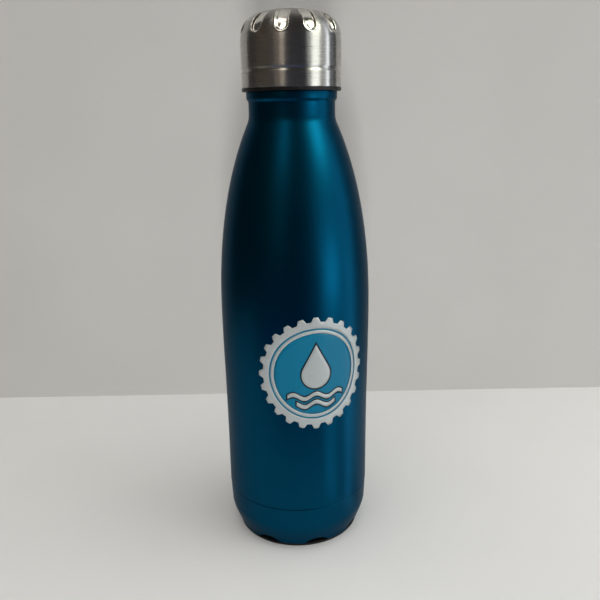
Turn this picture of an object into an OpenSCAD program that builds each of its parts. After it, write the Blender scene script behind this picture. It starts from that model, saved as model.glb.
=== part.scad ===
// Double-wall vacuum bottle with a screw-in stopper under a brushed steel cap.
// Millimetres. +Z is up, and the origin is the centre of the base, on the ground.
// The azimuth of a feature is measured from the front (-Y) towards +X.

/* [Body] */
// Widest diameter of the painted body
body_d = 72; // [70:0.5:76]
// Diameter of the straight part low on the body, which a bottle cage holds
grip_d = 70.8; // [69:0.2:71]
// Height where the body starts to close in towards the neck
shoulder_z = 115.25; // [105:0.25:120]
// Height where the shoulder meets the neck
neck_z = 202; // [200:0.5:203]
// Diameter at the neck's waist
neck_d = 39.3; // [39:0.1:40]
// Height of the bottle's mouth
mouth_z = 216; // [215.5:0.5:217]
// Thickness of the steel sheet of both walls
sheet = 0.5; // [0.4:0.1:0.6]

/* [Base] */
// Height of the seam between the base cover and the body
seam_z = 23.3; // [20:0.1:26]
// Thickness of the base cover
base_sheet = 0.8; // [0.6:0.1:1]
// Number of scallops round the foot
scallops = 8; // [6:1:9]
// Height of one scallop's arch
scallop_h = 4.2; // [3.6:0.2:5]
// Width of one scallop's arch at the ground
scallop_w = 14; // [12:0.2:16]
// Azimuth of the first scallop
scallop_az = 16.5; // [0:0.5:45]
// Height of the foot above the ground, on its rubber ring
foot_z = 1.2; // [1:0.1:1.6]

/* [Inner vessel] */
// Diameter of the inner vessel
vessel_d = 63.8; // [60:0.2:64]
// Height of the inner vessel's floor
vessel_floor_z = 19; // [18:0.5:22]
// Radius of the neck's bore at the thread
bore_r = 17.4; // [17.2:0.1:17.6]
// Radius of the throat that the stopper's seal rests on
throat_r = 15.4; // [15:0.1:15.6]

/* [Cap] */
// Diameter of the cap
cap_d = 44.8; // [44:0.1:46]
// Thickness of the black flange under the cap
flange_t = 1.5; // [1:0.1:2]
// Height of the cap's top above the ground
top_z = 250; // [249:0.5:253]
// Height of the dome on top of the cap
dome_h = 15.5; // [14:0.1:16.5]
// Thickness of the cap's steel
cap_sheet = 0.6; // [0.5:0.1:0.8]
// Number of thumb dimples round the dome
dimples = 11; // [8:1:12]
// Width of one dimple
dimple_w = 5.9; // [5:0.1:6.5]
// Depth of one dimple
dimple_depth = 1.1; // [0.6:0.1:1.4]
// Azimuth of the first dimple
dimple_az = 22.6; // [0:0.2:32]
// Height of the rolled groove round the cap
groove_z = 225; // [222:0.2:230]

/* [Stopper] */
// Rise of the stopper's thread in one turn
lead = 4.5; // [4.3:0.1:4.8]
// Turns of thread on the stopper and in the neck
thread_turns = 2.4; // [1.5:0.1:2.5]
// Turns that the cap is unscrewed
unscrewed = 0; // [0:0.05:6]

/* [Badge] */
// Radius of the printed badge
badge_r = 27; // [20:0.2:28]
// Height of the badge's centre
badge_z = 93; // [88:0.5:95]
// Azimuth of the badge's centre
badge_az = 14.5; // [0:0.5:30]
// Thickness of one printed layer
ink = 0.06; // [0.04:0.01:0.1]
// Number of teeth round the badge's cog
badge_teeth = 24; // [16:1:32]

/* [Hidden] */
$fn = 96;
over = 1; // how far a cutter reaches past what it cuts

body_r = body_d / 2;
grip_r = grip_d / 2;
neck_r = neck_d / 2;
grip_top_z = 52;
bead_r = neck_r + 0.85;
bead_z = mouth_z - 2.4;
skirt_r = grip_r - base_sheet - 1.1; // outside of the shell where the tapered base cover goes over it
skirt_z = 11;
seam_gap = 0.2;

flange_z = mouth_z + 0.1;
cap_r = cap_d / 2;
cap_z = flange_z + flange_t;
dome_z = top_z - dome_h;
dome_power = 3.08;

vessel_r = vessel_d / 2;
vessel_wall_z = 22;
weld_z = 193;
ledge_z = 197.2;
ledge_h = 1.6;

liner_wall = 1.5;
cap_liner_top = 234;
plug_r = 15.4;
plug_wall = 1.5;
plug_z = 195.6;
plug_floor = 2;
plug_flange_r = 19.4;
plug_flange_z = flange_z + 2;
plug_top = plug_flange_z + 1.6;
lid_t = 1.6;
seal_z = ledge_z + 0.75;
seal_h = 1.9;
seal_r = throat_r + 0.7;
groove_in_r = 13.6; // bottom of the seal's groove in the plug
plug_step_z = seal_z + seal_h + 0.6; // where the plug's inside starts to widen above the groove

female_crest = 16.3;
male_crest = 16.9;
thread_z = 201.4;
thread_flank = 0.25; // gap between the flanks when the cap is screwed down
thread_root_w = 1.8;
thread_crest_w = 0.8;

// ---- Curves ----

function bezier(a, b, c, d, n) = [for (i = [1 : n]) let (t = i / n, s = 1 - t)
    s * s * s * a + 3 * s * s * t * b + 3 * s * t * t * c + t * t * t * d];

function unit(v) = v / norm(v);
function left_of(v) = [-v[1], v[0]];

// A copy of an open outline, moved by d to its left.
function shifted(p, d) = [for (i = [0 : len(p) - 1])
    let (a = p[max(i - 1, 0)], b = p[min(i + 1, len(p) - 1)]) p[i] + d * left_of(unit(b - a))];

function reversed(p) = [for (i = [len(p) - 1 : -1 : 0]) p[i]];

// ---- Profiles, each a list of [radius, height] ----

// The painted wall above the seam, up to the mouth.
wall_profile = concat(
    [[grip_r, grip_top_z]],
    bezier([grip_r, grip_top_z], [grip_r, 75], [body_r, 92], [body_r, shoulder_z], 6));
shoulder_profile = bezier([body_r, shoulder_z], [body_r, shoulder_z + 33.4],
    [neck_r + 11.6, neck_z - 24.1], [neck_r + 0.95, neck_z], 20);
neck_profile = concat(
    bezier([neck_r + 0.95, neck_z], [neck_r + 0.24, neck_z + 1.6], [neck_r, neck_z + 2.6],
        [neck_r, neck_z + 5], 4),
    [[neck_r, bead_z - 2.6]],
    bezier([neck_r, bead_z - 2.6], [neck_r, bead_z - 1.2], [bead_r, bead_z - 1.2],
        [bead_r, bead_z], 5),
    [[bead_r, mouth_z]]);
shell_profile = concat(wall_profile, shoulder_profile, neck_profile);

// The base cover, from the seam down to the foot and in to the centre underneath.
foot_r = 30.4;
recess_r = foot_r - 1.8;
recess_z = foot_z + 6;
base_profile = concat(
    [[grip_r - 0.1, seam_z - seam_gap], [34.8, 12.5]],
    bezier([34.8, 12.5], [33.9, 7.6], [31.8, foot_z + 3.4], [31.4, foot_z + 0.9], 8),
    bezier([31.4, foot_z + 0.9], [31.3, foot_z + 0.4], [31, foot_z], [foot_r, foot_z], 3),
    [[recess_r, foot_z]],
    bezier([recess_r, foot_z], [27.4, foot_z], [26.6, foot_z + 4], [23.5, foot_z + 4.8], 6),
    [[0, recess_z]]);

// The inner vessel's outside, from its floor weld up to the neck's weld.
vessel_profile = concat(
    [[vessel_r, vessel_wall_z], [vessel_r, 112]],
    bezier([vessel_r, 112], [vessel_r, 150], [28.5, 172], [throat_r + sheet, weld_z], 18));

// The cap's outside: straight wall, rolled groove and dome.
function dome_point(q, r, h) = [r * pow(cos(q), 2 / dome_power), h * pow(sin(q), 2 / dome_power)];
dome_profile = [for (i = [0 : 9]) let (q = 90 * pow(i / 9, 1.2))
    dome_point(q, cap_r, dome_h) + [0, dome_z]];
groove_profile = [for (s = [-1, 0, 1]) [cap_r - 0.28 * (1 - abs(s)), groove_z + s]];
cap_profile = concat([[cap_r, cap_z]], groove_profile, dome_profile);

// ---- Cap ----

// One dimple's cutter: a slanted round rod that digs into the dome's shoulder and runs out on
// top, with a ball at its lower end. The two points lie on the dimple's floor.
dimple_low = [cap_r - 1.4, top_z - 7.8];
dimple_high = [cap_r - 8.6, top_z - 1.3];
dimple_r = (pow(dimple_w / 2, 2) + pow(1.6 * dimple_depth, 2)) / (3.2 * dimple_depth);

module dimple_cutter(grow) {
    along = dimple_high - dimple_low;
    axis = dimple_low - dimple_r * left_of(unit(along));
    translate([axis[0], 0, axis[1]]) rotate([0, atan2(along[0], along[1]), 0]) {
        cylinder(r = dimple_r + grow, h = 2 * norm(along));
        sphere(dimple_r + grow);
    }
}

module round_dimples(grow) {
    for (i = [0 : dimples - 1])
        rotate([0, 0, dimple_az - 90 + i * 360 / dimples]) dimple_cutter(grow);
}

module cap_solid(profile) {
    rotate_extrude() polygon(concat([[0, profile[0][1]]], profile, [[0, profile[len(profile) - 1][1]]]));
}

module cap_shell() {
    inside = shifted(cap_profile, cap_sheet);
    color("silver") difference() {
        cap_solid(cap_profile);
        round_dimples(0);
        difference() {
            cap_solid(concat([[inside[0][0], cap_z - over]], [for (p = inside) if (p[0] > 0.5) p],
                [[0, top_z - cap_sheet]]));
            round_dimples(cap_sheet);
        }
    }
}

module cap_liner() {
    inner = cap_r - cap_sheet;
    color("black") rotate_extrude() polygon([
        [plug_r, flange_z], [cap_r, flange_z], [cap_r, cap_z], [inner, cap_z],
        [inner, groove_z - 1.2], [inner - 0.3, groove_z - 1.2], [inner - 0.3, cap_liner_top],
        [inner - liner_wall, cap_liner_top], [inner - liner_wall, plug_flange_z],
        [plug_r, plug_flange_z]]);
}

// ---- Stopper ----

// A helical ridge between the radii root and crest, which stands outwards if crest is the larger.
module ridge(root, crest, z0, turns, root_w, crest_w) {
    steps = round(turns * 36);
    fade = 4;
    ring = [for (i = [0 : steps])
        let (a = i * 10, z = z0 + lead * i / 36,
            f = min(1, (i + 0.5) / fade, (steps - i + 0.5) / fade),
            tip = root + (crest - root) * f,
            base = root - sign(crest - root) * 0.3)
        [for (p = [[base, -root_w / 2], [tip, -crest_w / 2], [tip, crest_w / 2], [base, root_w / 2]])
            [p[0] * cos(a), p[0] * sin(a), z + p[1]]]];
    inward = crest < root;
    sides = [for (i = [0 : steps - 1], k = [0 : 3])
        let (a = 4 * i + k, b = 4 * i + (k + 1) % 4, c = b + 4, d = a + 4)
        each inward ? [[a, c, b], [a, d, c]] : [[a, b, c], [a, c, d]]];
    last = 4 * steps;
    ends = inward ? [[0, 1, 2], [0, 2, 3], [last, last + 2, last + 1], [last, last + 3, last + 2]]
        : [[0, 2, 1], [0, 3, 2], [last, last + 1, last + 2], [last, last + 2, last + 3]];
    polyhedron([for (r = ring) each r], concat(sides, ends), convexity = 10);
}

module stopper_plug() {
    in_r = plug_r - plug_wall;
    low_r = throat_r - 1;
    color("dimgray") {
        rotate_extrude() polygon([
            [0, plug_z], [low_r, plug_z], [low_r, seal_z - 0.1],
            [groove_in_r, seal_z - 0.1], [groove_in_r, seal_z + seal_h + 0.1],
            [plug_r, seal_z + seal_h + 0.1], [plug_r, plug_flange_z],
            [plug_flange_r, plug_flange_z], [plug_flange_r, plug_top], [in_r, plug_top],
            [in_r, plug_step_z + 1.6], [groove_in_r - plug_wall, plug_step_z],
            [groove_in_r - plug_wall, plug_z + plug_floor], [0, plug_z + plug_floor]]);
        ridge(plug_r, male_crest, thread_z + 1 - (thread_root_w + thread_crest_w) / 2 - thread_flank,
            thread_turns, thread_root_w, thread_crest_w);
    }
}

module stopper_seal() {
    in_r = groove_in_r + 0.1;
    color("white") rotate_extrude() polygon([
        [in_r, seal_z], [throat_r, seal_z], [seal_r, seal_z + 0.7], [seal_r, seal_z + seal_h - 0.5],
        [seal_r - 0.5, seal_z + seal_h], [in_r, seal_z + seal_h]]);
}

module stopper_lid() {
    color("dimgray") translate([0, 0, plug_top]) cylinder(r = plug_flange_r, h = lid_t);
}

module foam_core() {
    in_r = plug_r - plug_wall;
    low_r = groove_in_r - plug_wall;
    color("ivory") rotate_extrude() polygon([
        [0, plug_z + plug_floor], [low_r, plug_z + plug_floor], [low_r, plug_step_z],
        [in_r, plug_step_z + 1.6], [in_r, plug_top], [0, plug_top]]);
}

// ---- Body ----

module outer_shell() {
    inside = shifted(shell_profile, sheet);
    color("midnightblue") rotate_extrude() polygon(concat(
        [[skirt_r, skirt_z], [skirt_r, seam_z], [grip_r, seam_z]],
        shell_profile,
        reversed([for (p = inside) if (p[1] < mouth_z) p]),
        [[grip_r - sheet, seam_z + sheet], [skirt_r - sheet, seam_z + sheet], [skirt_r - sheet, skirt_z]]));
}

module scallop_cutters(grow) {
    r = (pow(scallop_w / 2, 2) + pow(scallop_h, 2)) / (2 * scallop_h);
    for (i = [0 : scallops - 1])
        rotate([0, 0, scallop_az - 90 + i * 360 / scallops])
            translate([12, 0, scallop_h - r]) rotate([0, 90, 0]) cylinder(r = r + grow, h = body_r);
}

module base_cover() {
    inside = shifted(base_profile, -base_sheet);
    top = seam_z - seam_gap;
    color("midnightblue") difference() {
        rotate_extrude() polygon(concat([[0, top]], base_profile));
        scallop_cutters(0);
        difference() {
            rotate_extrude() polygon(concat([[0, top + over], [inside[0][0], top + over]],
                [for (p = inside) if (p[0] > 0.5) p], [[0, recess_z + base_sheet]]));
            scallop_cutters(base_sheet);
        }
    }
}

// The bottle stands on this ring. It reaches up into the foot's recess, behind the scallops.
module foot_ring() {
    out_r = foot_r + 0.3;
    in_r = 23.8;
    top = foot_z + 3.4;
    color("black") rotate_extrude() polygon([
        [in_r, 0], [foot_r, 0], [out_r, 0.3], [out_r, foot_z - 0.05], [27.5, foot_z - 0.05],
        [26.3, foot_z + 2], [25, top], [in_r, top]]);
}

// ---- Vacuum bottom ----

well_r = 5;
well_z = skirt_z + 4.5;
plate_z = skirt_z + 2.5;

module outer_bottom() {
    rim = skirt_r - sheet;
    port_r = 0.8;
    color("silver") rotate_extrude() polygon([
        [port_r, well_z], [well_r, well_z], [well_r, plate_z], [rim - sheet, plate_z],
        [rim - sheet, skirt_z], [rim, skirt_z], [rim, plate_z + sheet], [well_r + sheet, plate_z + sheet],
        [well_r + sheet, well_z + sheet], [port_r, well_z + sheet]]);
}

module vacuum_seal() {
    color("darkgreen") rotate_extrude() polygon([
        [0, well_z], [4.6, well_z], [4.6, well_z - 0.9], [3.5, well_z - 1.4], [0, well_z - 1.6]]);
}

getter_x = 16;
getter_r = 5.4;

module getter_holder() {
    color("silver") translate([getter_x, 0, plate_z + sheet]) difference() {
        cylinder(r = getter_r + 0.5, h = 1.5);
        translate([0, 0, 0.4]) cylinder(r = getter_r, h = 1.5);
    }
}

module getter_pellet() {
    color("gray") translate([getter_x, 0, plate_z + sheet + 0.4]) cylinder(r = getter_r, h = 0.9);
}

// ---- Inner vessel ----

module inner_liner() {
    color("lightgray") rotate_extrude()
        polygon(concat(vessel_profile, reversed(shifted(vessel_profile, sheet))));
}

// The neck is welded to the liner's end. It has the ledge for the seal, the thread and the lip.
module threaded_neck() {
    inside = shifted(vessel_profile, sheet);
    color("lightgray") {
        rotate_extrude() polygon([
            vessel_profile[len(vessel_profile) - 1],
            [throat_r + sheet, ledge_z - sheet], [bore_r + sheet, ledge_z + ledge_h - sheet],
            [bore_r + sheet, mouth_z - 0.6], [bead_r - sheet, mouth_z - 0.6],
            [bead_r - sheet, mouth_z], [bore_r, mouth_z], [bore_r, ledge_z + ledge_h],
            [throat_r, ledge_z], [throat_r, weld_z], inside[len(inside) - 1]]);
        ridge(bore_r, female_crest, thread_z + 1, thread_turns, thread_root_w, thread_crest_w);
    }
}

module inner_bottom() {
    r = vessel_r - sheet;
    profile = concat(
        [[r, vessel_wall_z + 2], [r, vessel_wall_z + 0.5]],
        bezier([r, vessel_wall_z + 0.5], [r, vessel_floor_z + 0.6], [r - 1.6, vessel_floor_z - sheet],
            [r - 5, vessel_floor_z - sheet], 6),
        [[0, vessel_floor_z + 0.5]]);
    color("lightgray") rotate_extrude() polygon(concat(
        profile,
        [[0, vessel_floor_z + 0.5 + sheet]],
        reversed([for (p = shifted(profile, -sheet)) if (p[0] > 0.5) p])));
}

module copper_shield() {
    foil = 0.15;
    low = 30;
    high = 108;
    color("peru") translate([0, 0, low]) difference() {
        cylinder(r = vessel_r + foil, h = high - low);
        translate([0, 0, -over]) cylinder(r = vessel_r, h = high - low + 2 * over);
    }
}

// ---- Badge ----
// A toothed ring round a water drop over two waves. Each layer is drawn flat, as
// [arc length, height] from the badge's centre, and wrapped round the wall.

field_r = badge_r - 7.4;
rim_r = field_r + 1.5;
cog_in_r = field_r + 2.3;
tooth = 2.1;
drop_r = 6.8;
drop_tip = 14.2;
outline = 0.7;
wave_w = 1.9;
wave_h = 1.1;
wave_turn = 33; // degrees of the wave in each millimetre

function wrapped(p) = [for (q = p) [body_r * sin(q[0] / body_r * 180 / PI), q[1]]];
function circle_points(r) = [for (i = [0 : 71]) r * [cos(i * 5), sin(i * 5)]];
function cog_points(r) = [
    for (i = [0 : badge_teeth - 1], k = [[-0.33, -1], [-0.16, 0], [0.16, 0], [0.33, -1]])
        let (a = (i + k[0]) * 360 / badge_teeth) (r + k[1] * tooth) * [cos(a), sin(a)]];
// A round drop whose sides run straight up to its tip, grown by g all round.
function drop_points(g) =
    let (r = drop_r + g, tip = drop_tip * r / drop_r, side = acos(r / tip))
    concat([[0, tip]], [for (i = [0 : 24])
        let (a = 90 - side - (360 - 2 * side) * i / 24) r * [cos(a), sin(a)]]);
// A band with a wavy course, half_l to each side, at the height v.
function wave_points(v, half_l, w) =
    let (course = [for (i = [-16 : 16]) [half_l * i / 16, v + wave_h * cos(half_l * i / 16 * wave_turn)]])
    concat([for (p = course) p - [0, w / 2]], reversed([for (p = course) p + [0, w / 2]]));

module flat(points) { polygon(wrapped(points)); }

module badge_layer() {
    band = [for (p = shell_profile) if (p[1] > badge_z - 42 && p[1] < badge_z + 32) p];
    rotate([0, 0, badge_az]) intersection() {
        rotate_extrude() polygon(concat(shifted(band, -ink), reversed(band)));
        translate([0, 0, badge_z]) rotate([90, 0, 0]) linear_extrude(body_d) children();
    }
}

// The drop and the waves, grown by g all round.
module drop_shape(g) { flat(drop_points(g)); }
module waves(g) {
    flat(wave_points(-10.6, 13.4 + g, wave_w + 2 * g));
    flat(wave_points(-14.6, 9.2 + g, wave_w + 2 * g));
}

module badge_silver() {
    color("gainsboro") badge_layer() {
        difference() {
            flat(cog_points(badge_r));
            flat(circle_points(cog_in_r));
        }
        difference() {
            flat(circle_points(rim_r));
            flat(circle_points(field_r));
        }
        drop_shape(0);
        waves(0);
    }
}

module badge_blue() {
    color("steelblue") badge_layer() {
        difference() {
            flat(circle_points(cog_in_r));
            flat(circle_points(rim_r));
        }
        difference() {
            flat(circle_points(field_r));
            drop_shape(outline);
            waves(outline);
        }
    }
}

module badge_dark() {
    color("black") badge_layer() {
        difference() {
            drop_shape(outline);
            drop_shape(0);
        }
        difference() {
            waves(outline);
            waves(0);
        }
    }
}

// ---- Assembly ----

module unscrewed_cap() {
    translate([0, 0, lead * unscrewed]) rotate([0, 0, 360 * unscrewed]) children();
}

unscrewed_cap() cap_shell();
unscrewed_cap() cap_liner();
unscrewed_cap() stopper_plug();
unscrewed_cap() stopper_lid();
unscrewed_cap() foam_core();
unscrewed_cap() stopper_seal();
outer_shell();
base_cover();
foot_ring();
outer_bottom();
vacuum_seal();
getter_holder();
getter_pellet();
inner_liner();
threaded_neck();
inner_bottom();
copper_shield();
badge_blue();
badge_dark();
badge_silver();
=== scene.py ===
import math

import bmesh
import bpy
from mathutils import Matrix, Vector


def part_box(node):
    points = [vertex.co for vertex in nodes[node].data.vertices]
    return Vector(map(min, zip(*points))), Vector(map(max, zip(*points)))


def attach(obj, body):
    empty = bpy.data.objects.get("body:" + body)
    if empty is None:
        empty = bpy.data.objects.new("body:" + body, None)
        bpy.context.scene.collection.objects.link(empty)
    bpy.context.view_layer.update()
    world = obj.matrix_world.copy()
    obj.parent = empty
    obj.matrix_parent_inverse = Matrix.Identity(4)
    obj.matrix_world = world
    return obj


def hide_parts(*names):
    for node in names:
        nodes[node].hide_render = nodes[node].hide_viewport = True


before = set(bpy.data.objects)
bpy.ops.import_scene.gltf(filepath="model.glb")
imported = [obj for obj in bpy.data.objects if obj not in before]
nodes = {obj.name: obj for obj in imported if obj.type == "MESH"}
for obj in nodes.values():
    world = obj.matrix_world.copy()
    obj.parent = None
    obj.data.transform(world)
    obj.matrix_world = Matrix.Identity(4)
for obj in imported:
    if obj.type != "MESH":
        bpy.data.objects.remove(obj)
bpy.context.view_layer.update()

MM = 0.001
POLE = 1e-6     # a smaller radius counts as on the axis


# ---- Sizes in millimetres and angles in degrees. What can be read from the CAD frame is read from it ----

def low(node):
    return [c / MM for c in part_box(node)[0]]


def high(node):
    return [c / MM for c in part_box(node)[1]]


# The painted wall, from the skirt inside the base cover to the rolled bead at the mouth
BODY_R = high("outer_shell")[0]
MOUTH_Z = high("outer_shell")[2]
SKIRT_Z = low("outer_shell")[2]
GRIP_R = 35.4
GRIP_TOP_Z = 52.0
SHOULDER_Z = 115.25
NECK_Z = 202.0
NECK_R = 19.65
BEAD_R = NECK_R + 0.85
BEAD_Z = MOUTH_Z - 2.4
LIP_DROP = 0.6
SHEET = 0.5

# The base cover, its scalloped foot and the ring behind the scallops
SEAM_Z = high("base_cover")[2]
COVER_R = high("base_cover")[0]
COVER_SHEET = 0.8
FOOT_R = 30.4
FOOT_Z = low("base_cover")[2]
RECESS_R = FOOT_R - 1.8
RECESS_Z = FOOT_Z + 6
FOOT_RING_IN_R = 23.8
FOOT_GAP = 0.05
SCALLOPS = 8
SCALLOP_AZ = 16.5
SCALLOP_H = 4.2
SCALLOP_W = 14.0
ARCH_REACH = 3
ARCH_TOP_Z = 12

# The cap's steel, with a rolled groove round it and dimples pressed into the dome
CAP_R = high("cap_shell")[0]
CAP_Z = low("cap_shell")[2]
TOP_Z = high("cap_shell")[2]
CAP_SHEET = 0.6
DOME_H = 15.5
DOME_Z = TOP_Z - DOME_H
DOME_POWER = 3.08
DOME_STEPS = 132
GROOVE_Z = 225.0
GROOVE_DEPTH = 0.28
GROOVE_HALF_W = 1.1
GROOVE_STEPS = 6
DIMPLES = 11
DIMPLE_AZ = 22.6
DIMPLE_LOW_Z = TOP_Z - 7.8
DIMPLE_LENGTH = 11.5
DIMPLE_OUT_W = 2.95
DIMPLE_IN_W = 1.9
DIMPLE_DEPTH = 1.0
LIP_W = 0.5
LIP_H = 0.12

# The stopper and its seal
FLANGE_Z = low("cap_liner")[2]
LINER_TOP = high("cap_liner")[2]
PLUG_R = 15.4
PLUG_Z = low("stopper_plug")[2]
PLUG_TOP = high("stopper_plug")[2]
SEAL_Z = low("stopper_seal")[2]
SEAL_H = high("stopper_seal")[2] - SEAL_Z
SEAL_R = high("stopper_seal")[0]
SEAL_IN_R = 13.6

# The thread, on the stopper and in the neck. Its fade and its spare ends are in turns
LEAD = 4.5
THREAD_Z = 201.4
THREAD_TURNS = 2.4
MALE_CREST = 16.9
FEMALE_CREST = 16.3
THREAD_ROOT_W = 1.8
THREAD_CREST_W = 0.8
THREAD_FLANK = 0.25
THREAD_FADE = 0.11
THREAD_SPARE = 0.02
THREAD_ROWS = 90

# The inner vessel and its neck
VESSEL_R = high("inner_liner")[0]
VESSEL_LOW = low("inner_liner")[2]
VESSEL_SHOULDER_Z = 112
WELD_Z = low("threaded_neck")[2]
BORE_R = 17.4
THROAT_R = 15.4
LEDGE_Z = 197.2
LEDGE_H = 1.6

# The badge. A tooth's half width and side are shares of the teeth's pitch, and a wave is
# (its height, its half length)
BADGE_R = 27.0
BADGE_Z = 93.0
BADGE_AZ = 14.5
FIELD_R = BADGE_R - 7.4
RIM_R = FIELD_R + 1.5
COG_IN_R = FIELD_R + 2.3
TEETH = 24
TOOTH = 2.1
TOOTH_HALF = 0.16
TOOTH_SIDE = 0.17
DROP_R = 6.8
DROP_TIP = 14.2
OUTLINE = 0.7
WAVES = ((-10.6, 13.4), (-14.6, 9.2))
WAVE_W = 1.9
WAVE_H = 1.1
WAVE_RATE = 33
WAVE_STEPS = 60
INK = 0.06


# ---- Curves and outlines, as lists of (radius, height) ----

def bezier(a, b, c, d, n):
    """n points of a cubic curve after its first end, a."""
    out = []
    for i in range(1, n + 1):
        t = i / n
        s = 1 - t
        w = (s * s * s, 3 * s * s * t, 3 * s * t * t, t * t * t)
        out.append(tuple(sum(k * p[j] for k, p in zip(w, (a, b, c, d))) for j in (0, 1)))
    return out


def run(points, step=2.0):
    """The same outline with its long straight stretches cut into pieces of about step."""
    out = [points[0]]
    for a, b in zip(points, points[1:]):
        n = max(1, round(math.dist(a, b) / step))
        out += [(a[0] + (b[0] - a[0]) * i / n, a[1] + (b[1] - a[1]) * i / n) for i in range(1, n + 1)]
    return out


def shifted(points, d):
    """The open outline moved by d to its left."""
    out = []
    for i, p in enumerate(points):
        a, b = points[max(i - 1, 0)], points[min(i + 1, len(points) - 1)]
        length = math.dist(a, b)
        out.append((p[0] - d * (b[1] - a[1]) / length, p[1] + d * (b[0] - a[0]) / length))
    return out


def rounded(points, radius, closed=True, steps=4):
    """The outline with each corner cut back by radius and filled with a round."""
    out = []
    n = len(points)
    for i, p in enumerate(points):
        if not closed and i in (0, n - 1):
            out.append(p)
            continue
        a, b = Vector(points[i - 1]), Vector(points[(i + 1) % n])
        corner = Vector(p)
        cut_a = min(radius, 0.45 * (a - corner).length)
        cut_b = min(radius, 0.45 * (b - corner).length)
        start = corner + (a - corner).normalized() * cut_a
        end = corner + (b - corner).normalized() * cut_b
        for k in range(steps + 1):
            t = k / steps
            q = start * (1 - t) ** 2 + corner * 2 * t * (1 - t) + end * t * t
            out.append((q.x, q.y))
    return out


def smooth_step(x):
    x = max(0.0, min(1.0, x))
    return x * x * (3 - 2 * x)


def smooth_max(a, b, k):
    return (a + b + math.sqrt((a - b) ** 2 + k * k)) / 2


def wall_outline():
    """The painted wall, from the straight grip to the mouth."""
    wall = bezier((GRIP_R, GRIP_TOP_Z), (GRIP_R, 75), (BODY_R, 92), (BODY_R, SHOULDER_Z), 24)
    shoulder = bezier((BODY_R, SHOULDER_Z), (BODY_R, SHOULDER_Z + 33.4),
                      (NECK_R + 11.6, NECK_Z - 24.1), (NECK_R + 0.95, NECK_Z), 48)
    neck = bezier((NECK_R + 0.95, NECK_Z), (NECK_R + 0.24, NECK_Z + 1.6),
                  (NECK_R, NECK_Z + 2.6), (NECK_R, NECK_Z + 5), 10)
    bead = bezier((NECK_R, BEAD_Z - 2.6), (NECK_R, BEAD_Z - 1.2), (BEAD_R, BEAD_Z - 1.4),
                  (BEAD_R, BEAD_Z), 12)
    return [(GRIP_R, GRIP_TOP_Z)] + wall + shoulder + neck + bead


def wall_radius(z):
    """The painted wall's radius at a height."""
    points = WALL
    if z <= points[0][1]:
        return points[0][0]
    for a, b in zip(points, points[1:]):
        if z <= b[1]:
            return a[0] + (b[0] - a[0]) * (z - a[1]) / (b[1] - a[1])
    return points[-1][0]


WALL = wall_outline()


# ---- Meshes ----

def new_object(name, verts, faces, body):
    mesh = bpy.data.meshes.new(name)
    mesh.from_pydata([tuple(c * MM for c in v) for v in verts], [], faces)
    work = bmesh.new()
    work.from_mesh(mesh)
    bmesh.ops.remove_doubles(work, verts=work.verts, dist=1e-7)
    bmesh.ops.dissolve_degenerate(work, edges=work.edges, dist=1e-8)
    bmesh.ops.recalc_face_normals(work, faces=work.faces)
    work.to_mesh(mesh)
    work.free()
    for p in mesh.polygons:
        p.use_smooth = True
    obj = bpy.data.objects.new(name, mesh)
    bpy.context.scene.collection.objects.link(obj)
    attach(obj, body)
    return obj


def around(az):
    """Unit vector at an azimuth in degrees, from the front (-Y) towards +X."""
    a = math.radians(az)
    return math.sin(a), -math.cos(a)


def skin(rings):
    """Faces between each ring of points and the next, and back to the first. A pole is a ring of one."""
    faces = []
    segments = max(len(ring) for ring in rings)
    for a, b in zip(rings, rings[1:] + rings[:1]):
        if len(a) == 1 and len(b) == 1:
            continue
        for i in range(segments):
            j = (i + 1) % segments
            if len(a) == 1:
                faces.append((a[0], b[j], b[i]))
            elif len(b) == 1:
                faces.append((a[i], a[j], b[0]))
            else:
                faces.append((a[i], a[j], b[j], b[i]))
    return faces


def lathe(name, outline, body, segments=192, shape=None):
    """A closed outline turned about the axis. shape(r, z, azimuth) may move each point.
    Points on the axis are poles. The outline runs clockwise, seen with the axis on its left."""
    verts, rings = [], []
    for r, z in outline:
        if r < POLE:
            rings.append([len(verts)])
            verts.append((0, 0, z))
            continue
        ring = []
        for i in range(segments):
            az = 360 * i / segments
            rr, zz = shape(r, z, az) if shape else (r, z)
            x, y = around(az)
            ring.append(len(verts))
            verts.append((rr * x, rr * y, zz))
        rings.append(ring)
    return new_object(name, verts, skin(rings), body)


# ---- Painted body and its foot ----

def make_body_shell():
    """The painted shell as one sheet: out over the seam, up the wall, over the lip and down inside."""
    skirt_r = COVER_R - COVER_SHEET - 1.0
    outside = WALL + [(BEAD_R, MOUTH_Z)]
    inside = [p for p in shifted(outside, SHEET) if p[1] < MOUTH_Z - LIP_DROP]
    step_z = SEAM_Z + 0.2
    seam = rounded([(skirt_r, SKIRT_Z), (skirt_r, step_z), (GRIP_R, step_z), (GRIP_R, GRIP_TOP_Z)],
                   0.25, closed=False)
    lip = rounded([outside[-2], (BEAD_R, MOUTH_Z), (BEAD_R - SHEET, MOUTH_Z), (BEAD_R - SHEET, MOUTH_Z - 2)],
                  0.2, closed=False)[1:-1]
    step_in = [(GRIP_R - SHEET, step_z + SHEET), (skirt_r - SHEET, step_z + SHEET),
               (skirt_r - SHEET, SKIRT_Z)]
    outline = run(seam[:-1] + outside[:-1]) + lip + inside[::-1] + step_in
    obj = lathe("body_shell", outline, "bottle", 256)
    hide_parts("outer_shell")
    return obj


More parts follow.
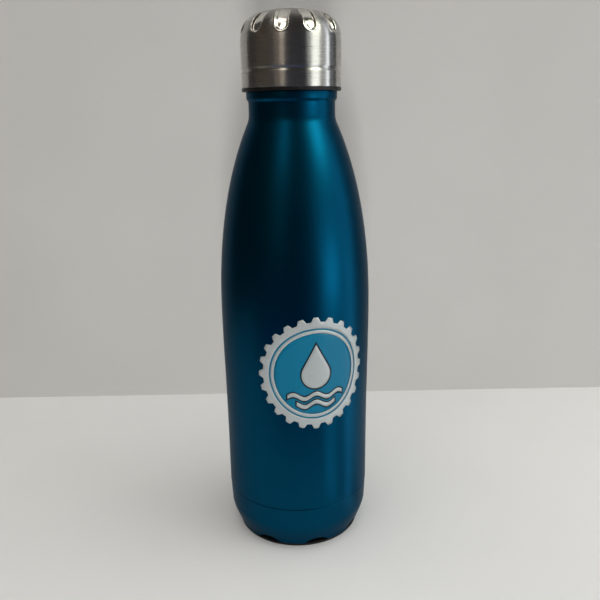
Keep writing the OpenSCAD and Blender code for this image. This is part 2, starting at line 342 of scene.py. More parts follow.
def foot_outline():
    """The base cover's outside, from the seam down and in to the centre underneath."""
    side = [(34.8, 12.5)] + bezier(
        (34.8, 12.5), (33.9, 7.6), (31.8, FOOT_Z + 3.4), (31.4, FOOT_Z + 0.9), 18)
    edge = bezier((31.4, FOOT_Z + 0.9), (31.3, FOOT_Z + 0.4), (31, FOOT_Z), (FOOT_R, FOOT_Z), 6)
    under = bezier((RECESS_R, FOOT_Z), (27.4, FOOT_Z), (26.6, FOOT_Z + 4), (23.5, FOOT_Z + 4.8), 14)
    return [(COVER_R, SEAM_Z)] + side + edge + [(RECESS_R, FOOT_Z)] + under + [(0, RECESS_Z)]


def scallop_height(r, az):
    """Height of the scalloped foot's arches at a radius and azimuth; far below zero on the feet."""
    pitch = 360 / SCALLOPS
    off = (az - SCALLOP_AZ + pitch / 2) % pitch - pitch / 2
    across = math.radians(off) * min(r, 33)
    radius = ((SCALLOP_W / 2) ** 2 + SCALLOP_H ** 2) / (2 * SCALLOP_H)
    if abs(across) >= radius:
        return -abs(across)
    return SCALLOP_H - radius + math.sqrt(radius ** 2 - across ** 2)


def make_foot_cover():
    """The painted base cover as a thin cup, with arches raised in its rim between the feet."""
    outside = foot_outline()
    side = [p for p in outside if p[0] > FOOT_R][::-1]

    def side_radius(z):
        for a, b in zip(side, side[1:]):
            if z <= b[1]:
                return a[0] + (b[0] - a[0]) * (z - a[1]) / max(b[1] - a[1], 1e-6)
        return side[-1][0]

    def scalloped(lift):
        def shape(r, z, az):
            arch = scallop_height(r, az)
            fade = smooth_step((r - 14) / 10)
            if arch < -ARCH_REACH or z > ARCH_TOP_Z or fade == 0:
                return r, z
            raised = z + (smooth_max(z, arch + lift, 0.7) - z) * fade
            if r > FOOT_R:
                r += 0.75 * max(0.0, side_radius(raised) - side_radius(z))
            return r, raised
        return shape

    outer = run(outside, 1.0)
    inner = run(shifted(outside, -COVER_SHEET)[:-1] + [(0, RECESS_Z + COVER_SHEET)], 1.0)
    top_round = rounded([(COVER_R, SEAM_Z - 2), (COVER_R, SEAM_Z), (COVER_R - COVER_SHEET, SEAM_Z),
                         (COVER_R - COVER_SHEET, SEAM_Z - 2)], 0.25, closed=False)[1:-1]
    outer = [p for p in outer if p[1] < SEAM_Z - 0.4]
    inner = [p for p in inner if p[1] < SEAM_Z - 0.4]
    outline = outer[::-1] + top_round + inner
    cover = scalloped(0)
    inside = scalloped(COVER_SHEET)
    outer_set = set(outer)

    def shape(r, z, az):
        return cover(r, z, az) if (r, z) in outer_set else inside(r, z, az)

    obj = lathe("foot_cover", outline, "bottle", 480, shape)
    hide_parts("base_cover")
    return obj


def make_foot_ring():
    """The ring that the bottle stands on, near black under the lobes. It reaches up into the recess behind
    the scallops, where its dark upstand is painted shade: a dark sheet that stands in for the shade seen
    through them.
    """
    out_r = high("foot_ring")[0]
    top = high("foot_ring")[2]
    lip_z = FOOT_Z - FOOT_GAP
    outline = rounded([(FOOT_RING_IN_R, 0), (out_r, 0), (out_r, lip_z), (27.5, lip_z),
                       (26.3, FOOT_Z + 2), (25, top), (FOOT_RING_IN_R, top)][::-1], 0.3)
    obj = lathe("foot_pad_and_painted_shade", outline, "bottle", 192)
    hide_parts("foot_ring")
    return obj


# ---- Cap ----

def cap_outline():
    """The cap's steel from its lower edge, over the rolled groove, to the middle of the dome."""
    groove = []
    for i in range(-GROOVE_STEPS, GROOVE_STEPS + 1):
        t = i / GROOVE_STEPS
        groove.append((CAP_R - GROOVE_DEPTH * (1 + math.cos(math.pi * t)) / 2, GROOVE_Z + GROOVE_HALF_W * t))
    dome = []
    for i in range(DOME_STEPS + 1):
        q = math.pi / 2 * (i / DOME_STEPS) ** 1.1
        c, s = max(math.cos(q), 0.0), math.sin(q)
        dome.append((CAP_R * c ** (2 / DOME_POWER), DOME_Z + DOME_H * s ** (2 / DOME_POWER)))
    dome[-1] = (0.0, TOP_Z)
    return rounded([(CAP_R - 1, CAP_Z), (CAP_R, CAP_Z), (CAP_R, CAP_Z + 3)], 0.15, closed=False)[1:-1] + \
        groove + dome


def dimple(r, along, az):
    """How far the dome is pressed in and how polished it is, at a distance along its outline from the
    dimples' low centres. The same amount also drives a painted sheen, a lighter steel colour, in the cap's
    shader. Each dimple has a raised lip."""
    pitch = 360 / DIMPLES
    off = (az - DIMPLE_AZ + pitch / 2) % pitch - pitch / 2
    across = math.radians(off) * r
    past = smooth_step((DIMPLE_LENGTH - along) / (0.55 * DIMPLE_LENGTH))
    q = math.hypot(across, min(along, 0.0))
    edge = DIMPLE_OUT_W * (0.8 + 0.2 * past)
    wall = smooth_step((edge - q) / (DIMPLE_OUT_W - DIMPLE_IN_W))
    lip = max(0.0, 1 - ((q - edge) / LIP_W) ** 2) ** 2
    return past * (DIMPLE_DEPTH * wall - LIP_H * lip), past * max(wall, lip)


def make_cap_shell():
    """The dimpled cap as one sheet. How polished each point is goes into a point attribute, which the cap's
    shader also uses to paint a sheen: a lighter steel colour on the dimples and their lips.
    """
    outline = run(cap_outline(), 1.0)
    segments = DIMPLES * 48
    normals = shifted(outline, 1.0)
    travelled = [0.0]
    for a, b in zip(outline, outline[1:]):
        travelled.append(travelled[-1] + math.dist(a, b))
    low_centre = min(d for d, (r, z) in zip(travelled, outline) if z >= DIMPLE_LOW_Z)
    verts, rings, polish_and_sheen = [], [], []
    for layer in (0.0, CAP_SHEET):
        for (r, z), (nr, nz), distance in zip(outline, normals, travelled):
            step = (nr - r, nz - z)
            if r < POLE:
                rings.append([len(verts)])
                verts.append((0, 0, z - layer))
                polish_and_sheen.append(0.0)
                continue
            ring = []
            for i in range(segments):
                az = 360 * i / segments
                pressed, shine = dimple(r, distance - low_centre, az)
                d = pressed + layer
                x, y = around(az)
                ring.append(len(verts))
                verts.append(((r + d * step[0]) * x, (r + d * step[0]) * y, max(z + d * step[1], CAP_Z)))
                polish_and_sheen.append(shine)
            rings.append(ring)
    half = len(rings) // 2
    faces = skin(rings[:half] + rings[half:][::-1])
    obj = new_object("cap_dome", verts, faces, "cap")
    attribute = obj.data.attributes.new("polish_and_sheen", "FLOAT", "POINT")
    attribute.data.foreach_set("value", polish_and_sheen)
    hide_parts("cap_shell")
    return obj


def make_cap_flange():
    """The plastic liner, whose flange closes the cap from below."""
    inner = CAP_R - CAP_SHEET - 0.02
    outline = rounded([
        (PLUG_R + 0.02, FLANGE_Z), (CAP_R, FLANGE_Z), (CAP_R, CAP_Z), (inner, CAP_Z),
        (inner, GROOVE_Z - 1.4), (inner - 0.3, GROOVE_Z - 1.4), (inner - 0.3, LINER_TOP),
        (inner - 1.5, LINER_TOP), (inner - 1.5, FLANGE_Z + 2), (PLUG_R + 0.02, FLANGE_Z + 2)], 0.2)
    obj = lathe("cap_flange", run(outline), "cap", 192)
    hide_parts("cap_liner")
    return obj


# ---- Threads: one grid of height by azimuth, raised along the helix ----

def thread_lift(z, az, z0, height):
    """How far the thread stands out at a point: a rounded ridge, faded in at both ends."""
    turn = ((90 - az) % 360) / 360
    best = 0.0
    for k in range(-1, int(THREAD_TURNS) + 2):
        along = turn + k
        if not -THREAD_SPARE <= along <= THREAD_TURNS + THREAD_SPARE:
            continue
        off = abs(z - z0 - LEAD * along)
        crest, root = THREAD_CREST_W / 2, THREAD_ROOT_W / 2
        side = smooth_step((root - off) / (root - crest))
        ends = smooth_step(min(along, THREAD_TURNS - along) / THREAD_FADE)
        best = max(best, height * side * ends)
    return best


def rows_between(radius, low_z, high_z):
    """Points up a straight wall, close enough together to carry a thread."""
    return [(radius, low_z + (high_z - low_z) * i / THREAD_ROWS) for i in range(THREAD_ROWS + 1)]


def make_plug():
    """The hollow stopper, with the seal's groove near its end and the thread above."""
    low_r = THROAT_R - 1
    in_r = PLUG_R - 1.5
    groove_top = SEAL_Z + SEAL_H + 0.1
    step_z = groove_top + 0.5
    z0 = THREAD_Z + 1 - (THREAD_ROOT_W + THREAD_CREST_W) / 2 - THREAD_FLANK
    top = FLANGE_Z + 2
    thread_rows = rows_between(PLUG_R, groove_top + 0.4, top - 0.4)
    outline = rounded([(0.01, PLUG_Z), (low_r, PLUG_Z), (low_r, SEAL_Z - 0.1), (SEAL_IN_R, SEAL_Z - 0.1),
                       (SEAL_IN_R, groove_top), (PLUG_R, groove_top), (PLUG_R, top)],
                      0.35, closed=False)[1:-1]
    upper = rounded([(PLUG_R, top - 1), (PLUG_R, top), (19.4, top), (19.4, PLUG_TOP), (in_r, PLUG_TOP),
                     (in_r, step_z + 1.6), (SEAL_IN_R - 1.5, step_z), (SEAL_IN_R - 1.5, PLUG_Z + 2),
                     (0.01, PLUG_Z + 2)], 0.3, closed=False)[1:-1]
    whole = [(0, PLUG_Z)] + outline + thread_rows[1:-1] + upper + [(0, PLUG_Z + 2)]
    rows = set(thread_rows)

    def shape(r, z, az):
        return (r + thread_lift(z, az, z0, MALE_CREST - PLUG_R), z) if (r, z) in rows else (r, z)

    obj = lathe("screw_plug", whole, "cap", 180, shape)
    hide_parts("stopper_plug")
    return obj


def make_seal():
    in_r = SEAL_IN_R + 0.1
    outline = rounded([(in_r, SEAL_Z), (THROAT_R, SEAL_Z), (SEAL_R, SEAL_Z + 0.7),
                       (SEAL_R, SEAL_Z + SEAL_H - 0.5), (SEAL_R - 0.5, SEAL_Z + SEAL_H),
                       (in_r, SEAL_Z + SEAL_H)], 0.3)
    obj = lathe("silicone_ring", outline, "seal", 144)
    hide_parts("stopper_seal")
    return obj


def make_vessel():
    """The vessel's wall, straight up to its shoulder and then in to the weld under the neck."""
    outside = [(VESSEL_R, VESSEL_LOW), (VESSEL_R, VESSEL_SHOULDER_Z)] + bezier(
        (VESSEL_R, VESSEL_SHOULDER_Z), (VESSEL_R, 150), (28.5, 172), (THROAT_R + SHEET, WELD_Z), 40)
    outline = run(outside, 4) + run(shifted(outside, SHEET)[::-1], 4)
    obj = lathe("vessel", outline, "bottle", 192)
    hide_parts("inner_liner")
    return obj


def make_neck():
    """The vessel's neck, with the ledge for the seal, the thread and the lip."""
    z0 = THREAD_Z + 1
    bore = rows_between(BORE_R, LEDGE_Z + LEDGE_H + 0.3, MOUTH_Z - 0.5)[::-1]
    outer = rounded([(THROAT_R + SHEET, WELD_Z), (THROAT_R + SHEET, LEDGE_Z - SHEET),
                     (BORE_R + SHEET, LEDGE_Z + LEDGE_H - SHEET), (BORE_R + SHEET, MOUTH_Z - LIP_DROP),
                     (BEAD_R - SHEET, MOUTH_Z - LIP_DROP), (BEAD_R - SHEET, MOUTH_Z), (BORE_R, MOUTH_Z),
                     (BORE_R, MOUTH_Z - 2)], 0.25, closed=False)[:-1]
    ledge = rounded([(BORE_R, LEDGE_Z + LEDGE_H + 1), (BORE_R, LEDGE_Z + LEDGE_H), (THROAT_R, LEDGE_Z),
                     (THROAT_R, WELD_Z)], 0.3, closed=False)[1:]
    rows = set(bore)

    def shape(r, z, az):
        return (r - thread_lift(z, az, z0, BORE_R - FEMALE_CREST), z) if (r, z) in rows else (r, z)

    obj = lathe("neck", outer + bore + ledge, "bottle", 180, shape)
    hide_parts("threaded_neck")
    return obj


# ---- Badge: flat outlines in (arc length, height) from its centre, wrapped on the wall ----

def film(name, body, patches, depth, height):
    """Thin closed slabs of ink on the wall, between two lifts off it. A patch is a grid of (u, v) rows,
    and whether each row closes on itself."""
    verts, faces = [], []
    for grid, wraps in patches:
        rows, cols = len(grid), len(grid[0])
        base = len(verts)
        for lift in (depth, height):
            for row in grid:
                for u, v in row:
                    z = BADGE_Z + v
                    r = wall_radius(z) + lift
                    x, y = around(BADGE_AZ + math.degrees(u / BODY_R))
                    verts.append((r * x, r * y, z))
        top = base + rows * cols

        def at(layer, i, j):
            return layer + i * cols + j % cols

        last = cols if wraps else cols - 1
        for i in range(rows - 1):
            for j in range(last):
                quad = (at(top, i, j), at(top, i, j + 1), at(top, i + 1, j + 1), at(top, i + 1, j))
                faces.append(quad)
                faces.append(tuple(v - top + base for v in reversed(quad)))
        edges = [[(0, j) for j in range(last + 1)][::-1], [(rows - 1, j) for j in range(last + 1)]]
        if not wraps:
            edges += [[(i, 0) for i in range(rows)], [(i, cols - 1) for i in range(rows)][::-1]]
        for edge in edges:
            for (i, j), (k, m) in zip(edge, edge[1:]):
                faces.append((at(base, i, j), at(base, k, m), at(top, k, m), at(top, i, j)))
    return new_object(name, verts, faces, body)


def ring_patch(inner, outer, angles, rows=3):
    """A ring between two outlines, each a radius by angle; an inner one of None fills the middle."""
    grid = []
    for i in range(rows + 1):
        t = i / rows
        row = []
        for a in angles:
            radius = (1 - t) * (inner(a) if inner else 0.0) + t * outer(a)
            row.append((radius * math.cos(math.radians(a)), radius * math.sin(math.radians(a))))
        grid.append(row)
    return grid, True


def even_angles(n):
    return [360 * i / n for i in range(n)]


def cog_radius(a):
    """The toothed outline by angle."""
    off = abs((a * TEETH / 360 + 0.5) % 1 - 0.5)
    return BADGE_R - TOOTH * max(0.0, min(1.0, (off - TOOTH_HALF) / TOOTH_SIDE))


def cog_angles():
    """Angles at the middle, the ends and half way down each side of every tooth, and between teeth."""
    half_way = TOOTH_HALF + TOOTH_SIDE / 2
    root = TOOTH_HALF + TOOTH_SIDE
    steps = (-root, -half_way, -TOOTH_HALF, 0, TOOTH_HALF, half_way, root, 0.5)
    return [(i + k) * 360 / TEETH for i in range(TEETH) for k in steps]


def drop_radius(a, grow):
    """The drop's outline by angle about its round part's centre."""
    r = DROP_R + grow
    tip = DROP_TIP * r / DROP_R
    side = math.degrees(math.acos(r / tip))
    off = abs((a - 90 + 180) % 360 - 180)
    return r if off >= side else r / math.cos(math.radians(side - off))


def drop_angles():
    return [90 + 360 * i / 96 for i in range(96)]


def wave_patch(v, half_l, w):
    """A wavy band at a height, from its half length and its width."""
    grid = []
    for t in (-0.5, 0, 0.5):
        row = []
        for i in range(WAVE_STEPS + 1):
            u = half_l * (2 * i / WAVE_STEPS - 1)
            row.append((u, v + WAVE_H * math.cos(math.radians(WAVE_RATE * u)) + t * w))
        grid.append(row)
    return grid, False


def circle(r):
    return lambda a: r


def make_badge():
    """Three films of ink, each a little higher than the one before: blue, dark and silver."""
    ring = even_angles(144)
    blue = film("print_blue", "bottle", [
        ring_patch(None, circle(FIELD_R), ring, 12),
        ring_patch(circle(RIM_R), circle(COG_IN_R), ring, 1)], 0.0, INK * 0.35)
    dark = film("print_dark", "bottle",
                [ring_patch(None, lambda a: drop_radius(a, OUTLINE), drop_angles(), 5)]
                + [wave_patch(v, h + OUTLINE, WAVE_W + 2 * OUTLINE) for v, h in WAVES],
                INK * 0.35, INK * 0.6)
    silver = film("print_silver", "bottle", [
        ring_patch(circle(COG_IN_R), cog_radius, cog_angles()),
        ring_patch(circle(FIELD_R), circle(RIM_R), ring, 1),
        ring_patch(None, lambda a: drop_radius(a, 0), drop_angles(), 5)]
        + [wave_patch(v, h, WAVE_W) for v, h in WAVES], INK * 0.6, INK * 0.9)
    for obj, node, slot in ((blue, "badge_blue", "ink_blue"), (dark, "badge_dark", "ink_dark"),
                            (silver, "badge_silver", "ink_silver")):
        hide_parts(node)
    return blue, dark, silver


# ---- Materials ----

class Material:
    """A node material with a Principled shader and short helpers."""

    def __init__(self, name, **sockets):
        self.material = bpy.data.materials.new(name)
        self.material.use_nodes = True
        self.tree = self.material.node_tree
        self.shader = self.tree.nodes["Principled BSDF"]
        for socket, value in sockets.items():
            self.shader.inputs[socket.replace("_", " ")].default_value = value
        self.place = self.add("ShaderNodeTexCoord").outputs["Object"]

    def add(self, kind, **props):
        node = self.tree.nodes.new(kind)
        for key, value in props.items():
            setattr(node, key, value)
        return node

    def link(self, a, b):
        self.tree.links.new(a, b)

    def noise(self, scale, detail=2.0, vector=None, rough=0.5):
        node = self.add("ShaderNodeTexNoise")
        node.inputs["Scale"].default_value = scale
        node.inputs["Detail"].default_value = detail
        node.inputs["Roughness"].default_value = rough
        self.link(vector or self.place, node.inputs["Vector"])
        return node.outputs["Fac"]

    def ramp(self, fac, low_value, high_value, start=0.3, end=0.7):
        """fac mapped from start..end to low_value..high_value, a number or a colour."""
        if isinstance(low_value, (int, float)):
            node = self.add("ShaderNodeMapRange")
            node.inputs["From Min"].default_value = start
            node.inputs["From Max"].default_value = end
            node.inputs["To Min"].default_value = low_value
            node.inputs["To Max"].default_value = high_value
            self.link(fac, node.inputs["Value"])
            return node.outputs["Result"]
        node = self.add("ShaderNodeValToRGB")
        node.color_ramp.elements[0].position = start
        node.color_ramp.elements[1].position = end
        node.color_ramp.elements[0].color = (*low_value, 1)
        node.color_ramp.elements[1].color = (*high_value, 1)
        self.link(fac, node.inputs["Fac"])
        return node.outputs["Color"]

    def math(self, operation, a, b=None):
        node = self.add("ShaderNodeMath", operation=operation)
        for i, value in enumerate((a, b)):
            if value is None:
                continue
            if isinstance(value, (int, float)):
                node.inputs[i].default_value = value
            else:
                self.link(value, node.inputs[i])
        return node.outputs[0]

    def ring_place(self, along, across):
        """Coordinates that follow the turning direction: azimuth times along, and height less radius
        times across."""
        split = self.add("ShaderNodeSeparateXYZ")
        self.link(self.place, split.inputs[0])
        x, y, z = split.outputs
        radius = self.math("SQRT", self.math("ADD", self.math("MULTIPLY", x, x), self.math("MULTIPLY", y, y)))
        angle = self.math("ARCTAN2", y, x)
        join = self.add("ShaderNodeCombineXYZ")
        self.link(self.math("MULTIPLY", angle, along), join.inputs[0])
        self.link(self.math("MULTIPLY", self.math("SUBTRACT", z, radius), across), join.inputs[1])
        return join.outputs[0]

    def bump(self, fac, distance, strength=1.0):
        node = self.add("ShaderNodeBump")
        node.inputs["Distance"].default_value = distance
        node.inputs["Strength"].default_value = strength
        self.link(fac, node.inputs["Height"])
        self.link(node.outputs["Normal"], self.shader.inputs["Normal"])

    def set(self, socket, value):
        self.link(value, self.shader.inputs[socket])


def paint():
    m = Material("satin_teal_paint", Metallic=1.0, Specular_Tint=(0.62, 0.61, 0.60, 1.0))
    flake = m.noise(5200, 1.0)
    m.set("Base Color", m.ramp(flake, (0.0004, 0.050, 0.106), (0.0008, 0.064, 0.130), 0.35, 0.65))
    m.set("Roughness", m.ramp(m.noise(45, 3.0), 0.36, 0.40))
    m.bump(flake, 0.00001, 0.2)
    return m.material


def brushed(name, dark, light, rough_low, rough_high, anisotropic):
    """Steel brushed while turning: the fine lines run round the axis and smear reflections along it."""
    m = Material(name, Metallic=1.0, Anisotropic=anisotropic, Anisotropic_Rotation=0.25)
    tangent = m.add("ShaderNodeTangent", direction_type="RADIAL", axis="Z")
    m.link(tangent.outputs[0], m.shader.inputs["Tangent"])
    fine = m.noise(1.0, 3.0, m.ring_place(2.0, 7000.0), 0.6)
    broad = m.noise(1.0, 2.0, m.ring_place(1.0, 1100.0))
    lines = m.math("ADD", m.math("MULTIPLY", fine, 0.8), m.math("MULTIPLY", broad, 0.2))
    m.bump(lines, 0.000004, 0.15)
    return m, m.ramp(lines, dark, light, 0.35, 0.65), m.ramp(lines, rough_low, rough_high, 0.35, 0.65)


def cap_steel():
    """Brushed all over but for the dimples, which are polished. Where polished, the colour is also lifted
    towards pale steel, a painted sheen.
    """
    m, colour, rough = brushed("brushed_cap_steel", (0.415, 0.403, 0.385), (0.465, 0.453, 0.435),
                               0.265, 0.295, 0.95)
    polish_and_sheen = m.add("ShaderNodeAttribute", attribute_name="polish_and_sheen").outputs["Fac"]
    mix = m.add("ShaderNodeMix", data_type="RGBA")
    m.link(polish_and_sheen, mix.inputs["Factor"])
    m.link(colour, mix.inputs[6])
    # Painted sheen: polished points are lightened towards pale steel, about twice the brushed colour
    mix.inputs[7].default_value = (0.88, 0.86, 0.82, 1)
    m.set("Base Color", mix.outputs[2])
    m.set("Roughness", m.math("SUBTRACT", rough, m.math("MULTIPLY", polish_and_sheen, 0.16)))
    return m.material


def vessel_steel():
    m, colour, rough = brushed("polished_vessel_steel", (0.52, 0.52, 0.51), (0.62, 0.62, 0.61),
                               0.22, 0.3, 0.5)
    m.set("Base Color", colour)
    m.set("Roughness", rough)
    return m.material


def bare_steel():
    m = Material("drawn_steel", Metallic=1.0)
    spots = m.noise(700, 4.0)
    m.set("Base Color", m.ramp(spots, (0.40, 0.40, 0.40), (0.58, 0.58, 0.57)))
    m.set("Roughness", m.ramp(m.noise(200, 3.0), 0.3, 0.5))
    m.bump(spots, 0.00003, 0.3)
    return m.material


def plastic(name, dark, light, rough_low, rough_high, grain):
    m = Material(name, IOR=1.49, Specular_IOR_Level=0.3)
    spots = m.noise(grain, 4.0)
    m.set("Base Color", m.ramp(spots, dark, light))
    m.set("Roughness", m.ramp(m.noise(grain / 6, 2.0), rough_low, rough_high))
    m.bump(spots, 0.00002, 0.4)
    return m.material


def silicone():
    m = Material("translucent_silicone", IOR=1.41, Subsurface_Weight=0.5, Subsurface_Scale=0.002)
    cloud = m.noise(400, 3.0)
    m.set("Base Color", m.ramp(cloud, (0.62, 0.62, 0.60), (0.76, 0.76, 0.74)))
    m.set("Roughness", m.ramp(cloud, 0.38, 0.5))
    m.bump(m.noise(2500, 2.0), 0.00001, 0.3)
    return m.material


def foam():
    m = Material("closed_cell_foam", Roughness=0.9)
    cells = m.add("ShaderNodeTexVoronoi")
    cells.inputs["Scale"].default_value = 900
    m.link(m.place, cells.inputs["Vector"])
    m.set("Base Color", m.ramp(cells.outputs["Distance"], (0.80, 0.77, 0.66), (0.90, 0.88, 0.79), 0.1, 0.6))
    m.bump(cells.outputs["Distance"], 0.0002, 0.6)
    return m.material


def copper():
    m = Material("copper_foil", Metallic=1.0)
    crease = m.noise(160, 5.0, rough=0.7)
    m.set("Base Color", m.ramp(crease, (0.72, 0.33, 0.19), (0.90, 0.48, 0.31)))
    m.set("Roughness", m.ramp(crease, 0.2, 0.42))
    m.bump(crease, 0.0002, 0.5)
    return m.material


def getter():
    m = Material("sintered_getter", Metallic=0.6)
    grain = m.noise(3000, 3.0)
    m.set("Base Color", m.ramp(grain, (0.08, 0.08, 0.085), (0.24, 0.24, 0.25)))
    m.set("Roughness", m.ramp(grain, 0.6, 0.85))
    m.bump(grain, 0.00006, 0.7)
    return m.material


def solder_glass():
    m = Material("solder_glass", IOR=1.6, Coat_Weight=0.5)
    swirl = m.noise(500, 5.0)
    m.set("Base Color", m.ramp(swirl, (0.03, 0.05, 0.035), (0.09, 0.12, 0.08)))
    m.set("Roughness", m.ramp(swirl, 0.08, 0.2))
    m.bump(m.noise(250, 2.0), 0.00008, 0.4)
    return m.material


def ink(name, dark, light, metallic=0.0):
    m = Material(name, Metallic=metallic, IOR=1.5, Specular_IOR_Level=0.2)
    grain = m.noise(3500, 2.0)
    m.set("Base Color", m.ramp(grain, dark, light))
    m.set("Roughness", m.ramp(m.noise(120, 2.0), 0.36, 0.46))
    m.bump(grain, 0.000006, 0.3)
    return m.material


def dress(obj, material):
    obj.data.materials.clear()
    obj.data.materials.append(material)


# ---- Assemble ----

body_paint = paint()
steel = bare_steel()
black = plastic("black_polypropylene", (0.003, 0.003, 0.0035), (0.006, 0.006, 0.0065), 0.38, 0.5, 2500)
stopper = plastic("stopper_polypropylene", (0.012, 0.012, 0.013), (0.022, 0.022, 0.024), 0.4, 0.55, 2200)
vessel_finish = vessel_steel()

dress(make_body_shell(), body_paint)
dress(make_foot_cover(), body_paint)
# The foot ring is near black: partly a dark foot under the lobes, partly painted shade seen through the
# scallops
dress(make_foot_ring(), plastic("foot_rubber", (0.004, 0.004, 0.005), (0.008, 0.008, 0.009), 0.55, 0.7, 1800))
dress(make_cap_shell(), cap_steel())
dress(make_cap_flange(), black)
dress(make_plug(), stopper)
dress(make_seal(), silicone())
dress(make_vessel(), vessel_finish)
dress(make_neck(), vessel_finish)

blue, dark, silver = make_badge()
dress(blue, ink("blue_ink", (0.0, 0.108, 0.195), (0.0, 0.125, 0.225)))
dress(dark, ink("dark_ink", (0.003, 0.006, 0.012), (0.006, 0.012, 0.02)))
dress(silver, ink("silver_ink", (0.33, 0.36, 0.365), (0.42, 0.45, 0.455), 0.3))

for name, material in (
        ("stopper_lid", stopper), ("foam_core", foam()), ("outer_bottom", steel),
        ("vacuum_seal", solder_glass()), ("getter_holder", steel), ("getter_pellet", getter()),
        ("inner_bottom", vessel_finish), ("copper_shield", copper())):
    dress(nodes[name], material)


# ---- Stage, lights and camera ----

def stage_material(name, colour, darker):
    """A matt surface that is only seen from its front."""
    m = Material(name, Roughness=0.8)
    m.set("Base Color", m.ramp(m.noise(9, 3.0), darker, colour))
    side = m.add("ShaderNodeNewGeometry").outputs["Backfacing"]
    clear = m.add("ShaderNodeBsdfTransparent").outputs[0]
    mix = m.add("ShaderNodeMixShader")
    m.link(side, mix.inputs[0])
    m.link(m.shader.outputs[0], mix.inputs[1])
    m.link(clear, mix.inputs[2])
    m.link(mix.outputs[0], m.tree.nodes["Material Output"].inputs["Surface"])
    return m.material


def plane(name, corners, material, reflected=True):
    """A flat piece of the stage, which the bottle mirrors only if it is reflected."""
    mesh = bpy.data.meshes.new(name)
    mesh.from_pydata(corners, [], [(0, 1, 2, 3)])
    obj = bpy.data.objects.new(name, mesh)
    obj.visible_glossy = reflected
    obj.visible_shadow = reflected
    bpy.context.scene.collection.objects.link(obj)
    dress(obj, material)


# The floor and the wall are made of pieces, and only those near the bottle show in its reflections.
WALL_Y = 0.155
WALL_TOP = 2
FAR = 3.0
CARD_LEFT = 0.35
CARD_RIGHT = 0.27
TABLE = 0.15
FOOT_ROOM = 0.055
floor_finish = stage_material("pale_floor", (0.88, 0.878, 0.865), (0.85, 0.848, 0.835))
wall_finish = stage_material("pale_wall", (0.585, 0.578, 0.562), (0.555, 0.548, 0.532))


def floor_piece(name, x0, x1, y0, y1, reflected):
    plane(name, [(x0, y0, 0), (x1, y0, 0), (x1, y1, 0), (x0, y1, 0)], floor_finish, reflected)


def wall_piece(name, x0, x1, reflected):
    plane(name, [(x0, WALL_Y, 0), (x1, WALL_Y, 0), (x1, WALL_Y, WALL_TOP), (x0, WALL_Y, WALL_TOP)],
          wall_finish, reflected)


floor_piece("floor_near", -CARD_LEFT, FOOT_ROOM, -TABLE, WALL_Y, True)
floor_piece("floor_behind", FOOT_ROOM, CARD_RIGHT, 0, WALL_Y, True)
floor_piece("floor_front", -FAR, FAR, -FAR, -TABLE, False)
floor_piece("floor_left", -FAR, -CARD_LEFT, -TABLE, WALL_Y, False)
floor_piece("floor_right", FOOT_ROOM, FAR, -TABLE, 0, False)
floor_piece("floor_far_right", CARD_RIGHT, FAR, 0, WALL_Y, False)
wall_piece("backdrop", -CARD_LEFT, CARD_RIGHT, True)
wall_piece("backdrop_left", -FAR, -CARD_LEFT, False)
wall_piece("backdrop_right", CARD_RIGHT, FAR, False)


def add_light(name, location, aim, width, tall, glow, colour):
    """A soft rectangular panel of an even radiance."""
    light = bpy.data.lights.new(name, "AREA")
    light.shape = "RECTANGLE"
    light.size, light.size_y = width, tall
    light.energy = math.pi * width * tall * glow
    light.color = colour
    obj = bpy.data.objects.new(name, light)
    obj.location = location
    obj.rotation_euler = (Vector(aim) - obj.location).to_track_quat("-Z", "Y").to_euler()
    bpy.context.scene.collection.objects.link(obj)
    return obj


PANEL_DISTANCE = 1.2
BOTTLE_MIDDLE = 0.15


def upright_panel(name, start, end, low_angle, high_angle, glow, colour):
    """A panel that only shows in reflections. It stands round the bottle between two azimuths, and
    between two angles above its middle."""
    x, y = around((start + end) / 2)
    width = 2 * PANEL_DISTANCE * math.tan(math.radians(end - start) / 2)
    lower, upper = (BOTTLE_MIDDLE + PANEL_DISTANCE * math.tan(math.radians(angle))
                    for angle in (low_angle, high_angle))
    middle = (lower + upper) / 2
    panel = add_light(name, (PANEL_DISTANCE * x, PANEL_DISTANCE * y, middle), (0, 0, middle),
                      width, upper - lower, glow, colour)
    panel.visible_diffuse = False


COOL = (0.95, 0.98, 1.0)
BLUISH = (0.90, 0.95, 1.0)
SUNLIT = (0.95, 1.0, 0.80)
WARM = (1.0, 0.81, 0.56)
upright_panel("window_foot", 46, 64, -45, -27, 1.9, COOL)
upright_panel("window_low", 46, 62, -27, -11, 0.4, COOL)
upright_panel("window_waist", 46, 66, -11, -1, 7.2, COOL)
upright_panel("window", 47, 61, -1, 28, 0.3, COOL)
upright_panel("window_frame", 36, 47, -1, 28, 0.6, COOL)
upright_panel("window_high", 53, 77, 28, 56, 8.6, SUNLIT)
upright_panel("window_edge", 61, 84, -4, 52, 0.6, COOL)
upright_panel("side_window_low", 84, 96, -38, -4, 3.0, BLUISH)
upright_panel("side_window", 86, 95.5, -4, 22, 2.4, BLUISH)
upright_panel("side_window_high", 86, 96, 22, 45, 1.6, BLUISH)
upright_panel("side_shade", 98, 113, -4, 40, 0.25, (0.78, 0.88, 1.0))
upright_panel("warm_room", -25, -16, 0, 22, 0.5, WARM)
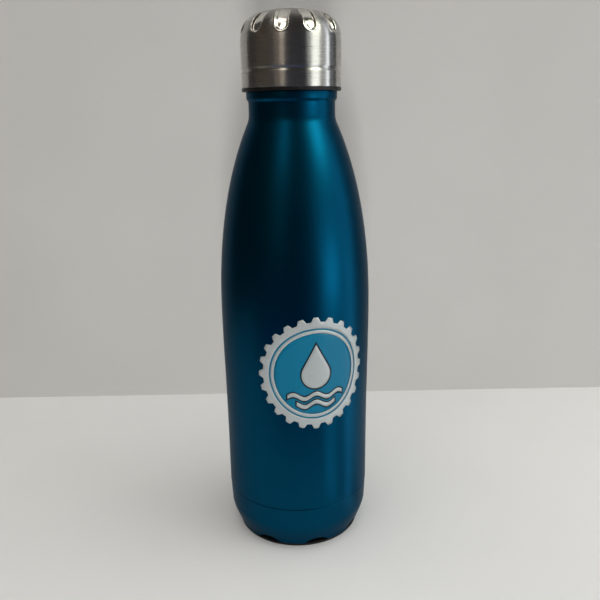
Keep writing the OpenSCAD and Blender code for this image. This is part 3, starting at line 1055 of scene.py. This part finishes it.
upright_panel("warm_lamp", -27, -15, 30, 58, 3.0, (1.0, 0.92, 0.80))
upright_panel("warm_room_edge", -38, -25, 0, 40, 0.2, WARM)
upright_panel("warm_room_far", -85, -38, -4, 45, 0.04, (1.0, 0.6, 0.2))
upright_panel("low_room", -52, 40, -38, -20, 0.22, (0.05, 0.3, 1.0))
glow = add_light("ceiling_glow", (-0.45, -0.35, 1.7), (0, 0, 0.2), 0.7, 0.7, 1.5, (1.0, 0.93, 0.82))
glow.visible_diffuse = False
for name, location, aim, width, tall, radiance, colour in (
        ("ceiling", (0.3, -0.6, 2.6), (0.3, -0.6, 0), 4.5, 4.5, 1.28, (1.0, 0.985, 0.955)),
        ("front_fill", (0, -0.55, 0.04), (0, 0.15, 0.03), 0.06, 0.06, 130, (1.0, 0.985, 0.96)),
        ("right_fill", (1.7, -0.4, 0.7), (0, 0.1, 0), 1.4, 1.4, 1.8, (0.93, 0.97, 1.0))):
    add_light(name, location, aim, width, tall, radiance, colour).visible_glossy = False

world = bpy.data.worlds.new("dim_room")
world.use_nodes = True
world.node_tree.nodes["Background"].inputs["Color"].default_value = (0.051, 0.047, 0.045, 1)
world.node_tree.nodes["Background"].inputs["Strength"].default_value = 1.0
bpy.context.scene.world = world
bpy.context.scene.view_settings.view_transform = "Standard"

CAMERA_AT = (0.0001, -0.3122, 0.2078)
CAMERA_PITCH = 16.02
CAMERA_YAW = 0.42
CAMERA_ROLL = -0.86
CAMERA_LENS = 39.6
camera = bpy.data.cameras.new("camera")
camera.sensor_width = 36
camera.lens = CAMERA_LENS
camera.clip_start = 0.01
camera_object = bpy.data.objects.new("camera", camera)
turn = (Matrix.Rotation(math.radians(-CAMERA_YAW), 4, "Z")
        @ Matrix.Rotation(math.radians(90 - CAMERA_PITCH), 4, "X")
        @ Matrix.Rotation(math.radians(CAMERA_ROLL), 4, "Z"))
camera_object.matrix_world = Matrix.Translation(CAMERA_AT) @ turn
bpy.context.scene.collection.objects.link(camera_object)
bpy.context.scene.camera = camera_object
